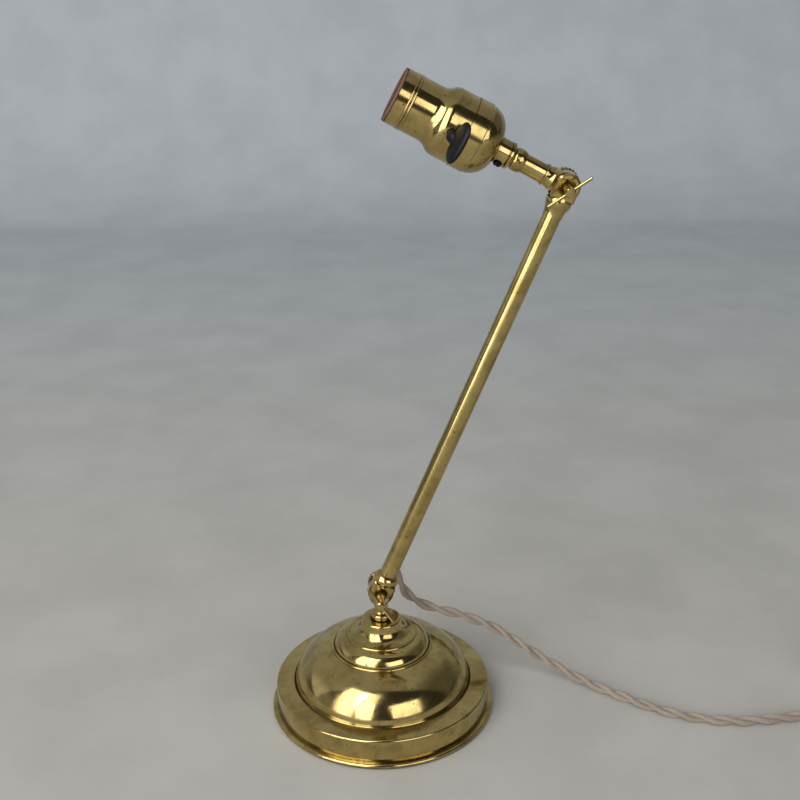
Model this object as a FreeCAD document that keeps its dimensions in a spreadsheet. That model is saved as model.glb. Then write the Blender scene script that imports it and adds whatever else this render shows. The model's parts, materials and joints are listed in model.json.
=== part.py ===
import FreeCAD, Part
import math
import os
import re

import Sketcher

# Bare bulb table lamp in polished brass: a stepped, weighted base, a straight arm between two
# clamped knuckle joints, and a keyed shell lampholder. The lamp stands with +Z up and its origin
# is the centre of the underside of the base. +X is the side that the arm leans to, and -Y is the
# side of the thumbscrews. Lengths are in millimetres and angles in degrees.

document = FreeCAD.newDocument("TableLamp")
sheet = document.addObject("Spreadsheet::Sheet", "Sizes")

SIZES = {
    # whole lamp
    "pivot_height": 84.2,
    "arm_reach": 283.6,
    "arm_tilt": 22.5,
    "head_turn": 84.4,
    "running_clearance": 0.05,
    "slot_clearance": 0.1,
    # base
    "base_radius": 73.3,
    "bead_radius": 1.7,
    "sheet_wall": 0.9,
    "shoulder_radius": 70,
    "shoulder_height": 19.2,
    "dome_radius": 57.6,
    "dome_foot_height": 20.2,
    "dome_curve": 29,
    "step_radius": 32.3,
    "step_height": 44.6,
    "step_curve": 9.5,
    "crown_radius": 22.2,
    "crown_height": 53.2,
    "flare_curve": 8.2,
    "flare_rise": 7.2,
    "bell_radius": 12.8,
    "bell_height": 64.5,
    "bell_edge": 1.7,
    "edge_bead": 0.7,
    "felt_thickness": 2,
    "weight_hollow_radius": 45,
    "weight_floor_height": 14,
    "weight_top_height": 24,
    "rod_radius": 3,
    "rod_foot_height": 6.5,
    "washer_thickness": 1.2,
    "washer_radius": 9,
    "locknut_across": 10,
    "locknut_thickness": 4.8,
    # knuckle joints, the same size at both ends of the arm
    "tongue_radius": 8.2,
    "tongue_thickness": 7.8,
    "ear_half_width": 7.3,
    "ear_reach": 8,
    "ear_thickness": 3,
    "ear_top": 8.2,
    "ear_bevel": 1.1,
    "crotch_height": 8.8,
    "dish_radius": 5.2,
    "dish_depth": 0.8,
    "screw_radius": 2.4,
    "shank_radius": 2.9,
    "shank_reach": 21.4,
    "screw_tail": 12.4,
    "bar_radius": 0.95,
    "bar_length": 29,
    "bar_setback": 3,
    "lower_bar_angle": -57,
    "upper_bar_angle": 33.8,
    "nut_radius": 8.8,
    "nut_thickness": 3.4,
    "clamp_washer_radius": 6.2,
    "clamp_washer_thickness": 0.9,
    "nut_notch": 0.75,
    "nut_notches": 24,
    # post of the base
    "collar_radius": 7.3,
    "collar_height": 2.4,
    "neck_radius": 4.4,
    "neck_top": 10.8,
    # arm
    "tube_radius": 5.55,
    "tube_wall": 0.9,
    "tube_seat": 10.4,
    "lower_bulge_radius": 7.8,
    "lower_collar_top": 13,
    "upper_bulge_radius": 7.5,
    "upper_bulge_end": 12.4,
    "upper_collar_top": 18.6,
    "wire_way": 3,
    "exit_height": 13.5,
    "outlet_radius": 4.15,
    "outlet_face": 9.3,
    "outlet_seat": 4.4,
    "wire_radius": 2.3,
    # neck between the upper joint and the lampholder
    "flare_start": 9.2,
    "flare_radius": 6.7,
    "ring_start": 13.2,
    "ring_end": 14.6,
    "ring_radius": 6.4,
    "spigot_end": 20,
    "spigot_radius": 4.5,
    "neck_bore": 2.4,
    "coupling_start": 27.7,
    "coupling_end": 35.6,
    "coupling_radius": 6.8,
    "disc_end": 37.6,
    "disc_radius": 7.9,
    "bushing_end": 44.8,
    "bushing_radius": 7.6,
    "nipple_radius": 4.6,
    "nipple_wall": 1.2,
    "nipple_start": 30,
    "nipple_end": 52,
    "nipple_nut_across": 12,
    "nipple_nut_thickness": 3,
    "set_screw_radius": 2.4,
    "set_screw_turn": 35,
    "set_screw_start": 5,
    "set_screw_end": 9,
    # lampholder, measured along its axis from the upper pivot
    "holder_wall": 0.6,
    "cap_radius": 20.6,
    "cap_line": 56.4,
    "cap_rim": 65.8,
    "cap_curve": 13.5,
    "shell_seat": 60,
    "body_radius": 20.2,
    "body_end": 77,
    "waist_line": 86.4,
    "mouth_radius": 16.1,
    "bead_start": 98.6,
    "mouth_line": 108,
    "liner_wall": 1.1,
    "liner_reach": 1.6,
    "liner_foot": 88,
    "thread_radius": 13.1,
    "thread_wall": 0.4,
    "thread_start": 81.5,
    "thread_end": 104,
    "block_radius": 18.2,
    "block_start": 58,
    "block_end": 81,
    "contact_radius": 4,
    "contact_height": 2.6,
    "terminal_radius": 2,
    "terminal_place": 13.5,
    "key_place": 81.5,
    "key_lean": 22,
    "key_swing": 6,
    "key_stem_radius": 1.9,
    "key_stem_start": 12,
    "key_hub_radius": 4,
    "key_hub_start": 23.7,
    "key_hub_end": 27.5,
    "paddle_start": 26.4,
    "paddle_depth": 13.6,
    "paddle_half_length": 12,
    "paddle_thickness": 3.2,
    # cord
    "cord_radius": 3.35,
    "coil_x": 346,
    "coil_y": 24,
    "coil_inner_radius": 22,
    "coil_outer_radius": 50.7,
    "coil_height": 13.3,
    "coil_edge": 2.6,
    "tail_x": 390.2,
    "tail_height": 8,
    "tail_start": 35,
    "plug_rear": 66,
    "plug_length": 26,
    "plug_width": 24,
    "plug_edge": 3.5,
    "blade_width": 6.3,
    "blade_thickness": 1.5,
    "blade_length": 17,
    "blade_root": 4,
    "blade_spacing": 12.7,
}

for row, (alias, amount) in enumerate(SIZES.items(), start=1):
    sheet.set(f"A{row}", alias)
    sheet.set(f"B{row}", str(amount))
    sheet.setAlias(f"B{row}", alias)
document.recompute()


def linked(text):
    """The formula with each size's name turned into a reference to its cell."""
    return re.sub(r"[a-z]+(?:_[a-z]+)+", lambda found: "Sizes." + found.group(0), text)


def worth(text):
    """What a formula of sizes comes to, in millimetres or degrees."""
    return float(sheet.evalExpression(linked(text)))


X, Y, Z = FreeCAD.Vector(1, 0, 0), FreeCAD.Vector(0, 1, 0), FreeCAD.Vector(0, 0, 1)
ORIGIN = FreeCAD.Vector(0, 0, 0)
tilt = worth("arm_tilt")

# Frames. Along the arm and along the lampholder, +Z of the frame runs away from the pivot.
BASE = FreeCAD.Placement()
lower_pivot = FreeCAD.Vector(0, 0, worth("pivot_height"))
ARM = FreeCAD.Placement(lower_pivot, FreeCAD.Rotation(Y, tilt))
upper_pivot = ARM.multVec(FreeCAD.Vector(0, 0, worth("arm_reach")))
ARM_TOP = FreeCAD.Placement(upper_pivot, FreeCAD.Rotation(Y, tilt + 180))
HEAD = FreeCAD.Placement(upper_pivot, FreeCAD.Rotation(Y, tilt - worth("head_turn")))
PIVOTS = {"lower": lower_pivot, "upper": upper_pivot}

nodes = {}


def new_body(name, frame):
    """An empty body for one sub-part, labelled with the sub-part's name."""
    body = document.addObject("PartDesign::Body", name)
    body.Label = name
    body.Placement = frame
    nodes[name] = body
    return body


def new_sketch(body, name, plane):
    """An empty sketch on one of the body's own origin planes."""
    sketch = body.newObject("Sketcher::SketchObject", name)
    support = [item for item in body.Origin.OriginFeatures if item.Role == plane]
    sketch.AttachmentSupport = [(support[0], "")]
    sketch.MapMode = "FlatFace"
    return sketch


def pins(geometry, corner, x, y):
    """Two constraints, each with its formula, that hold a corner where its sizes put it."""
    pair = []
    for kind, axis, text in (("DistanceX", -2, x), ("DistanceY", -1, y)):
        amount = worth(text)
        if abs(amount) < 1e-9:
            pair.append((Sketcher.Constraint("PointOnObject", geometry, corner, axis), None))
        elif amount > 0:
            pair.append((Sketcher.Constraint(kind, -1, 1, geometry, corner, amount), linked(text)))
        else:
            limit = Sketcher.Constraint(kind, geometry, corner, -1, 1, -amount)
            pair.append((limit, f"-({linked(text)})"))
    return pair


def bind(sketch, geometry, limits):
    """Puts the geometry and its constraints in a sketch, and ties the constraints to the sizes."""
    sketch.addGeometry(geometry, False)
    numbers = sketch.addConstraint([limit for limit, _ in limits])
    for number, (_, formula) in zip(numbers, limits):
        if formula:
            sketch.setExpression(f"Constraints[{number}]", formula)


def arc_between(start, end, radius, turn):
    """The arc of this radius from start to end that turns left (1) or right (-1)."""
    chord = end.sub(start)
    middle = start.add(end).multiply(0.5)
    height = math.sqrt(max(radius**2 - (chord.Length / 2) ** 2, 0))
    left = FreeCAD.Vector(-chord.y, chord.x, 0).normalize()
    centre = middle.add(left.multiply(height * turn))
    angles = [math.atan2(point.y - centre.y, point.x - centre.x) for point in (start, end)]
    first, last = angles if turn > 0 else angles[::-1]
    return Part.ArcOfCircle(Part.Circle(centre, Z, radius), first, last)


def outline(body, name, points, plane="XZ_Plane"):
    """A closed outline through points (x, y) or (x, y, radius, turn), each bound to its sizes.

    A point with a radius is reached along an arc that turns left (1) or right (-1).
    """
    sketch = new_sketch(body, name, plane)
    places = [FreeCAD.Vector(worth(point[0]), worth(point[1]), 0) for point in points]
    geometry, heads, limits = [], [], []
    for index, point in enumerate(points):
        start, end = places[index - 1], places[index]
        if len(point) == 2:
            geometry.append(Part.LineSegment(start, end))
            heads.append((1, 2))
            continue
        geometry.append(arc_between(start, end, worth(point[2]), point[3]))
        heads.append((1, 2) if point[3] > 0 else (2, 1))
        limits.append((Sketcher.Constraint("Radius", index, worth(point[2])), linked(point[2])))
    for index, point in enumerate(points):
        after = (index + 1) % len(points)
        ends = (index, heads[index][1], after, heads[after][0])
        limits.append((Sketcher.Constraint("Coincident", *ends), None))
        limits.extend(pins(index, heads[index][1], point[0], point[1]))
    bind(sketch, geometry, limits)
    return sketch


def circles(body, name, rounds, plane="XZ_Plane"):
    """A sketch of full circles (x, y, radius), each bound to its sizes."""
    sketch = new_sketch(body, name, plane)
    geometry, limits = [], []
    for index, (x, y, radius) in enumerate(rounds):
        centre = FreeCAD.Vector(worth(x), worth(y), 0)
        geometry.append(Part.Circle(centre, Z, worth(radius)))
        limits.append((Sketcher.Constraint("Radius", index, worth(radius)), linked(radius)))
        if centre.Length < 1e-9:
            limits.append((Sketcher.Constraint("Coincident", index, 3, -1, 1), None))
        else:
            limits.extend(pins(index, 3, x, y))
    bind(sketch, geometry, limits)
    return sketch


def revolve(body, name, sketch, kind="Revolution", axis="V_Axis"):
    """Turns a sketch a full circle about one of its axes, to add or (Groove) to cut."""
    feature = body.newObject("PartDesign::" + kind, name)
    feature.Profile = sketch
    feature.ReferenceAxis = (sketch, [axis])
    feature.Angle = 360
    document.recompute()
    return feature


def pad(body, name, sketch, length, midplane=True, reverse=False):
    """Extrudes a sketch by a formula, to both sides of its plane or to one."""
    feature = body.newObject("PartDesign::Pad", name)
    feature.Profile = sketch
    feature.setExpression("Length", linked(length))
    feature.Midplane = midplane
    feature.Reversed = reverse
    document.recompute()
    return feature


def pocket(body, name, sketch, length, midplane=True, reverse=False):
    """Cuts a sketch into the body and makes sure that something was cut."""
    before = body.Shape.Volume
    feature = body.newObject("PartDesign::Pocket", name)
    feature.Profile = sketch
    feature.setExpression("Length", linked(length))
    feature.Midplane = midplane
    feature.Reversed = reverse
    document.recompute()
    if body.Shape.Volume > before - 1e-3:
        raise ValueError(f"{body.Label}: {name} cuts nothing")
    return feature


def turned(name, frame, points):
    """A sub-part turned about its frame's Z from its half outline of (radius, height)."""
    body = new_body(name, frame)
    revolve(body, name + "_turning", outline(body, name + "_outline", points))
    return body


def bevel(body, name, feature, amount, wanted):
    """Chamfers the feature's edges whose points all pass a test."""
    edges = []
    for index, edge in enumerate(feature.Shape.Edges, start=1):
        if all(wanted(point) for point in edge.discretize(5)):
            edges.append(f"Edge{index}")
    chamfer = body.newObject("PartDesign::Chamfer", name)
    chamfer.Base = (feature, edges)
    chamfer.setExpression("Size", linked(amount))
    document.recompute()
    return chamfer


def around(pivot, turn_angle, side):
    """A frame whose Z points out of a joint to one side: front is -Y, and rear is +Y."""
    lean = FreeCAD.Rotation(X, 90 if side == "front" else -90)
    return FreeCAD.Placement(pivot, FreeCAD.Rotation(Y, -turn_angle).multiply(lean))


def hexagon_nut(name, frame, across, thickness, bore, foot):
    """A plain hexagonal nut whose foot is at a height along its frame's Z."""
    prism = document.addObject("Part::Prism", name + "_hexagon")
    prism.Polygon = 6
    prism.setExpression("Circumradius", linked(f"({across}) / 2 / cos(30 deg)"))
    prism.setExpression("Height", linked(thickness))
    hole = document.addObject("Part::Cylinder", name + "_hole")
    hole.setExpression("Radius", linked(bore))
    hole.setExpression("Height", linked(thickness))
    nut = document.addObject("Part::Cut", name)
    nut.Base = prism
    nut.Tool = hole
    nut.Label = name
    lift = FreeCAD.Vector(0, 0, worth(foot))
    nut.Placement = frame.multiply(FreeCAD.Placement(lift, FreeCAD.Rotation()))
    nodes[name] = nut


# ---------------------------------------------------------------- base


def make_base_shell():
    """The spun brass shell: rolled rim, upright side, shelf, dome, step and bell."""
    side_foot = "base_radius - 2 * bead_radius"
    outer = [
        ("base_radius - bead_radius", "0.2"),
        ("base_radius", "0.2 + bead_radius", "bead_radius", 1),
        ("base_radius - bead_radius", "0.2 + 2 * bead_radius", "bead_radius", 1),
        (side_foot, "0.4 + 2 * bead_radius"),
        ("shoulder_radius", "shoulder_height - 1.3"),
        ("shoulder_radius - 1.3", "shoulder_height", "1.3", 1),
        ("dome_radius + 1", "dome_foot_height - 0.3"),
        ("dome_radius + 0.4", "dome_foot_height - 0.8"),
        ("dome_radius", "dome_foot_height"),
        ("step_radius + edge_bead", "step_height - edge_bead", "dome_curve", 1),
        ("step_radius - edge_bead", "step_height + 0.4 * edge_bead", "1.4 * edge_bead", 1),
        ("step_radius - 1.6 * edge_bead", "step_height"),
        ("crown_radius + edge_bead", "crown_height - edge_bead", "step_curve", 1),
        ("crown_radius - edge_bead", "crown_height + 0.4 * edge_bead", "1.4 * edge_bead", 1),
        ("crown_radius - 1.8 * edge_bead", "crown_height"),
        ("bell_radius + 0.5", "crown_height + flare_rise", "flare_curve", -1),
        ("bell_radius", "bell_height - bell_edge"),
        ("bell_radius - bell_edge", "bell_height", "bell_edge", 1),
    ]
    inner = [
        ("rod_radius + running_clearance", "bell_height"),
        ("rod_radius + running_clearance", "bell_height - sheet_wall"),
        ("bell_radius - bell_edge", "bell_height - sheet_wall"),
        ("bell_radius - sheet_wall", "bell_height - bell_edge", "bell_edge - sheet_wall", -1),
        ("bell_radius + 0.5 - sheet_wall", "crown_height + flare_rise"),
        ("crown_radius - 1.8 * edge_bead", "crown_height - sheet_wall", "flare_curve + sheet_wall", 1),
        ("crown_radius", "crown_height - edge_bead - sheet_wall"),
        ("step_radius - 1.6 * edge_bead - sheet_wall", "step_height - sheet_wall", "step_curve", -1),
        ("step_radius", "step_height - edge_bead - sheet_wall"),
        ("dome_radius - sheet_wall", "dome_foot_height - 0.8", "dome_curve", -1),
        ("dome_radius + 0.4", "dome_foot_height - 0.8 - sheet_wall"),
        ("shoulder_radius - 2.2", "shoulder_height - sheet_wall"),
        ("shoulder_radius - sheet_wall", "shoulder_height - 2.2"),
        (side_foot + " - sheet_wall", "2 * bead_radius"),
        (side_foot + " - sheet_wall", "0.2"),
    ]
    turned("base_shell", BASE, outer + inner)


def make_base_inside():
    """The cast weight, the felt under it, and the rod, washer and nut that hold the base together."""
    gap = "running_clearance"
    rod_hole = f"rod_radius + {gap}"
    weight_edge = "shoulder_radius - sheet_wall - 1.2"
    weight = [
        (rod_hole, "weight_floor_height"),
        ("weight_hollow_radius", "weight_floor_height"),
        ("weight_hollow_radius", "felt_thickness"),
        (weight_edge, "felt_thickness"),
        (weight_edge, "shoulder_height - 1.8 - sheet_wall"),
        (weight_edge + " - 1.5", f"shoulder_height - sheet_wall - {gap}"),
        ("dome_radius - 2", f"dome_foot_height - 0.8 - sheet_wall - {gap}"),
        ("weight_hollow_radius - 5", "weight_top_height"),
        (rod_hole, "weight_top_height"),
    ]
    turned("base_weight", BASE, weight)
    felt_edge = "base_radius - 2 * bead_radius - sheet_wall - 0.3"
    felt = [("0", "0"), (felt_edge, "0"), (felt_edge, "felt_thickness"), ("0", "felt_thickness")]
    turned("base_felt", BASE, felt)
    rod = [
        ("0", "rod_foot_height"),
        ("rod_radius - 0.5", "rod_foot_height"),
        ("rod_radius", "rod_foot_height + 0.5"),
        ("rod_radius", "bell_height + 7.5"),
        ("rod_radius - 0.5", "bell_height + 8"),
        ("0", "bell_height + 8"),
    ]
    turned("base_rod", BASE, rod)
    washer_foot = "weight_floor_height - washer_thickness"
    washer = [
        (rod_hole, washer_foot),
        ("washer_radius", washer_foot),
        ("washer_radius", "weight_floor_height"),
        (rod_hole, "weight_floor_height"),
    ]
    turned("base_washer", BASE, washer)
    nut_foot = washer_foot + " - locknut_thickness"
    hexagon_nut("base_locknut", BASE, "locknut_across", "locknut_thickness", rod_hole, nut_foot)


def add_tongue(body, name, centre_height, neck_low, neck_high, neck_half_width):
    """The flat round tongue of a knuckle, the flat neck that joins it, and its screw hole."""
    disc = circles(body, name + "_disc", [("0", centre_height, "tongue_radius")])
    pad(body, name + "_tongue", disc, "tongue_thickness")
    flat = outline(
        body,
        name + "_flat",
        [
            ("-(" + neck_half_width + ")", neck_low),
            (neck_half_width, neck_low),
            (neck_half_width, neck_high),
            ("-(" + neck_half_width + ")", neck_high),
        ],
    )
    pad(body, name + "_flat_neck", flat, "tongue_thickness")


def add_screw_hole(body, name, centre_height):
    """The hole across a joint that the thumbscrew passes through."""
    hole = circles(body, name, [("0", centre_height, "screw_radius + running_clearance")])
    pocket(body, name + "_cut", hole, "40")


def make_base_post():
    """The turned post on the bell, whose tongue carries the arm."""
    collar_top = "bell_height + collar_height"
    neck_end = "bell_height + neck_top"
    body = turned(
        "base_post",
        BASE,
        [
            ("rod_radius + running_clearance", "bell_height"),
            ("collar_radius - 0.6", "bell_height"),
            ("collar_radius", "bell_height + 0.6"),
            ("collar_radius", collar_top),
            ("collar_radius - 1.8", collar_top + " + 1.8", "1.8", 1),
            ("neck_radius", collar_top + " + 3", "1.6", -1),
            ("neck_radius", neck_end),
            ("0", neck_end),
            ("0", "bell_height + 8.5"),
            ("rod_radius + running_clearance", "bell_height + 8.5"),
        ],
    )
    add_tongue(body, "post", "pivot_height", neck_end + " - 1", "pivot_height - 3", "neck_radius")
    add_screw_hole(body, "post_hole", "pivot_height")


# ---------------------------------------------------------------- knuckle joints


def make_fork(name, frame, collar):
    """A fork at one end of the arm: a turned collar with two bevelled ears astride a slot."""
    outside = "tongue_thickness / 2 + slot_clearance + ear_thickness"
    body = new_body(name, frame)
    ears = outline(
        body,
        name + "_ears",
        [
            ("-ear_half_width", "ear_half_width - ear_reach"),
            ("0", "-ear_reach", "ear_half_width", 1),
            ("ear_half_width", "ear_half_width - ear_reach", "ear_half_width", 1),
            ("ear_half_width", "ear_top - 1.5"),
            ("ear_half_width - 1.5", "ear_top", "1.5", 1),
            ("-(ear_half_width - 1.5)", "ear_top"),
            ("-ear_half_width", "ear_top - 1.5", "1.5", 1),
        ],
    )
    block = pad(body, name + "_block", ears, f"2 * ({outside})")
    face = worth(outside) - 1e-3
    bevel(body, name + "_bevel", block, "ear_bevel", lambda point: abs(point.y) > face)
    revolve(body, name + "_collar", outline(body, name + "_collar_outline", collar))
    slot_half = "tongue_thickness / 2 + slot_clearance"
    low = "-(ear_reach + 2)"
    slot = outline(
        body,
        name + "_slot",
        [(f"-({slot_half})", low), (slot_half, low), (slot_half, "crotch_height"), (f"-({slot_half})", "crotch_height")],
        "YZ_Plane",
    )
    pocket(body, name + "_slot_cut", slot, "60")
    add_screw_hole(body, name + "_hole", "0")
    dish = outline(
        body,
        name + "_dish",
        [
            (f"-({outside} + 1)", "0"),
            (f"-({outside} + 1)", "dish_radius"),
            (f"-({outside})", "dish_radius"),
            (f"-({outside} - dish_depth)", "shank_radius + running_clearance"),
            (f"-({outside} - dish_depth)", "0"),
        ],
        "YZ_Plane",
    )
    revolve(body, name + "_dish_cut", dish, "Groove", "H_Axis")
    return body


def make_forks():
    """Both forks. The lower one has the hole in its back that the cord leaves by."""
    seat = "tube_seat"
    bore = "tube_radius + running_clearance"
    lower = make_fork(
        "arm_lower_fork",
        ARM,
        [
            ("0", "ear_top - 2.2"),
            ("lower_bulge_radius - 1", "ear_top - 2.2"),
            ("tube_radius + 0.8", "lower_collar_top - 0.3", "4.6", 1),
            (bore, "lower_collar_top"),
            (bore, seat),
            ("0", seat),
        ],
    )
    outlet_hole(lower, "lower_fork_outlet")
    upper = make_fork(
        "arm_upper_fork",
        ARM_TOP,
        [
            ("0", "ear_top - 2.2"),
            ("upper_bulge_radius - 0.7", "ear_top - 2.2"),
            ("upper_bulge_radius - 0.3", "upper_bulge_end", "8", 1),
            ("tube_radius + 0.4", "upper_collar_top", "14", -1),
            (bore, "upper_collar_top"),
            (bore, seat),
            ("0", seat),
        ],
    )
    way = circles(upper, "upper_fork_way", [("0", "0", "wire_way")], "XY_Plane")
    pocket(upper, "upper_fork_way_cut", way, seat + " + 0.1", False, True)


def outlet_hole(body, name):
    """The round hole in the back of the arm for the cord's outlet."""
    hole = circles(body, name, [("0", "exit_height", "outlet_radius + running_clearance")])
    pocket(body, name + "_cut", hole, "outlet_face + 5", False, False)


def make_arm():
    """The straight tube, the turned outlet that the cord leaves by, and the wires inside."""
    inside = "tube_radius - tube_wall"
    far = "arm_reach - tube_seat"
    tube = turned(
        "arm_tube",
        ARM,
        [(inside, "tube_seat"), ("tube_radius", "tube_seat"), ("tube_radius", far), (inside, far)],
    )
    outlet_hole(tube, "tube_outlet")
    lift = FreeCAD.Placement(FreeCAD.Vector(0, 0, worth("exit_height")), FreeCAD.Rotation(X, -90))
    way = "cord_radius + running_clearance"
    turned(
        "cord_outlet",
        ARM.multiply(lift),
        [
            (way, "outlet_seat"),
            ("outlet_radius", "outlet_seat"),
            ("outlet_radius", "outlet_face - 0.5"),
            ("outlet_radius - 0.35", "outlet_face"),
            (way, "outlet_face"),
        ],
    )
    make_bent_wire()


def make_bent_wire():
    """The pair of wires in the arm: in at the outlet, round a bend and up to the upper joint."""
    body = new_body("arm_wires", ARM)
    path = new_sketch(body, "arm_wires_path", "YZ_Plane")
    bend = worth("wire_radius") + 0.9
    mouth, level = worth("outlet_face"), worth("exit_height")
    top = worth("arm_reach") - worth("crotch_height") - 1.5
    corner = FreeCAD.Vector(0, level, 0)
    mouth_point = FreeCAD.Vector(mouth, level, 0)
    turn_start = FreeCAD.Vector(bend, level, 0)
    turn_end = FreeCAD.Vector(0, level + bend, 0)
    middle = FreeCAD.Vector(bend * (1 - math.sqrt(0.5)), corner.y + bend * (1 - math.sqrt(0.5)), 0)
    path.addGeometry(Part.LineSegment(mouth_point, turn_start), False)
    path.addGeometry(Part.Arc(turn_start, middle, turn_end), False)
    path.addGeometry(Part.LineSegment(turn_end, FreeCAD.Vector(0, top, 0)), False)
    ring = new_sketch(body, "arm_wires_ring", "XZ_Plane")
    ring.AttachmentOffset = FreeCAD.Placement(FreeCAD.Vector(0, 0, -mouth), FreeCAD.Rotation())
    ring.addGeometry(Part.Circle(FreeCAD.Vector(0, level, 0), Z, worth("wire_radius")), False)
    number = ring.addConstraint(Sketcher.Constraint("Radius", 0, worth("wire_radius")))
    ring.setExpression(f"Constraints[{number}]", linked("wire_radius"))
    pipe = body.newObject("PartDesign::AdditivePipe", "arm_wires_pipe")
    pipe.Profile = ring
    pipe.Spine = path
    document.recompute()


def make_thumbscrew(level, angle):
    """A thumbscrew with its cross bar, and the knurled nut that it draws up, for one joint."""
    pivot = PIVOTS[level]
    outside = "tongue_thickness / 2 + slot_clearance + ear_thickness"
    seat = outside + " - dish_depth + running_clearance"
    front = around(pivot, worth(angle), "front")
    screw = turned(
        level + "_thumbscrew",
        front,
        [
            ("0", "-screw_tail"),
            ("screw_radius - 0.7", "-screw_tail"),
            ("screw_radius", "-(screw_tail - 0.7)"),
            ("screw_radius", seat),
            ("shank_radius", seat),
            ("shank_radius", "shank_reach - 0.5"),
            ("shank_radius - 0.5", "shank_reach"),
            ("0", "shank_reach"),
        ],
    )
    bar_place = "shank_reach - bar_setback"
    hole = circles(screw, level + "_bar_hole", [("0", bar_place, "bar_radius")], "YZ_Plane")
    pocket(screw, level + "_bar_hole_cut", hole, "20")
    bar_frame = FreeCAD.Placement(FreeCAD.Vector(0, 0, worth(bar_place)), FreeCAD.Rotation(Y, 90))
    half = "bar_length / 2"
    turned(
        level + "_thumbscrew_bar",
        front.multiply(bar_frame),
        [
            ("0", f"-{half}"),
            ("bar_radius - 0.3", f"-{half}"),
            ("bar_radius", f"-({half} - 0.3)"),
            ("bar_radius", f"{half} - 0.3"),
            ("bar_radius - 0.3", half),
            ("0", half),
        ],
    )
    nut_foot = outside + " + clamp_washer_thickness"
    nut_top = nut_foot + " + nut_thickness"
    rear = around(pivot, 0, "rear")
    screw_hole = "screw_radius + running_clearance"
    turned(
        level + "_clamp_washer",
        rear,
        [
            (screw_hole, outside),
            ("clamp_washer_radius", outside),
            ("clamp_washer_radius", nut_foot),
            (screw_hole, nut_foot),
        ],
    )
    nut = turned(
        level + "_clamp_nut",
        rear,
        [
            (screw_hole, nut_foot),
            ("nut_radius - 0.6", nut_foot),
            ("nut_radius", nut_foot + " + 0.6"),
            ("nut_radius", nut_top + " - 0.6"),
            ("nut_radius - 0.6", nut_top),
            (screw_hole, nut_top),
        ],
    )
    notch = circles(nut, level + "_notch", [("nut_radius + 0.1", "0", "nut_notch")], "XY_Plane")
    cut = pocket(nut, level + "_notch_cut", notch, "40")
    pattern = nut.newObject("PartDesign::PolarPattern", level + "_knurl")
    pattern.Originals = [cut]
    pattern.Axis = (notch, ["N_Axis"])
    pattern.Angle = 360
    pattern.setExpression("Occurrences", linked("nut_notches"))
    nut.Tip = pattern
    document.recompute()


# ---------------------------------------------------------------- neck


def make_neck():
    """From the upper joint to the lampholder: knuckle, tube, coupling, disc, bushing and nipple."""
    knuckle = turned(
        "head_knuckle",
        HEAD,
        [
            ("0", "flare_start"),
            ("flare_radius", "flare_start"),
            ("tube_radius + 0.2", "ring_start", "10", -1),
            ("ring_radius - 0.3", "ring_start"),
            ("ring_radius", "ring_start + 0.3"),
            ("ring_radius", "ring_end - 0.3"),
            ("ring_radius - 0.3", "ring_end"),
            ("spigot_radius", "ring_end"),
            ("spigot_radius", "spigot_end"),
            ("0", "spigot_end"),
        ],
    )
    add_tongue(knuckle, "knuckle", "0", "2", "flare_start + 1", "flare_radius - 0.4")
    bore = outline(
        knuckle,
        "knuckle_bore",
        [("0", "4.5"), ("neck_bore", "4.5"), ("neck_bore", "spigot_end + 1"), ("0", "spigot_end + 1")],
    )
    revolve(knuckle, "knuckle_bore_cut", bore, "Groove")
    add_screw_hole(knuckle, "knuckle_hole", "0")
    tube_bore = "spigot_radius + running_clearance"
    turned(
        "neck_tube",
        HEAD,
        [
            (tube_bore, "ring_end"),
            ("tube_radius", "ring_end"),
            ("tube_radius", "coupling_start"),
            (tube_bore, "coupling_start"),
        ],
    )
    nipple_hole = "nipple_radius + running_clearance"
    middle = "(coupling_start + coupling_end) / 2"
    turned(
        "neck_coupling",
        HEAD,
        [
            (tube_bore, "coupling_start"),
            ("coupling_radius - 0.9", "coupling_start"),
            ("coupling_radius - 0.1", middle + " + 0.6", "7", 1),
            ("coupling_radius - 0.9", "coupling_end - 1.1", "3.4", 1),
            ("coupling_radius - 0.3", "coupling_end"),
            (nipple_hole, "coupling_end"),
            (nipple_hole, "nipple_start"),
            (tube_bore, "nipple_start"),
        ],
    )
    turned(
        "neck_disc",
        HEAD,
        [
            (nipple_hole, "coupling_end"),
            ("disc_radius - 0.5", "coupling_end"),
            ("disc_radius", "coupling_end + 0.5"),
            ("disc_radius", "disc_end - 0.5"),
            ("disc_radius - 0.5", "disc_end"),
            (nipple_hole, "disc_end"),
        ],
    )
    bushing = turned(
        "cap_bushing",
        HEAD,
        [
            (nipple_hole, "disc_end"),
            ("bushing_radius - 0.4", "disc_end"),
            ("bushing_radius", "disc_end + 0.8"),
            ("bushing_radius", "bushing_end"),
            (nipple_hole, "bushing_end"),
        ],
    )
    screw_height = "(disc_end + bushing_end) / 2"
    drill = circles(bushing, "set_screw_drill", [("0", "0", "set_screw_radius + 0.05")], "XY_Plane")
    drill.AttachmentOffset = set_screw_frame(screw_height)
    pocket(bushing, "set_screw_drill_cut", drill, "bushing_radius + 4", False, True)
    make_set_screw(screw_height)
    nipple_bore = "nipple_radius - nipple_wall"
    turned(
        "cap_nipple",
        HEAD,
        [
            (nipple_bore, "nipple_start"),
            ("nipple_radius", "nipple_start"),
            ("nipple_radius", "nipple_end"),
            (nipple_bore, "nipple_end"),
        ],
    )
    nut_foot = "bushing_end + holder_wall"
    nut_sizes = ("nipple_nut_across", "nipple_nut_thickness", nipple_hole, nut_foot)
    hexagon_nut("cap_locknut", HEAD, *nut_sizes)


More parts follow.
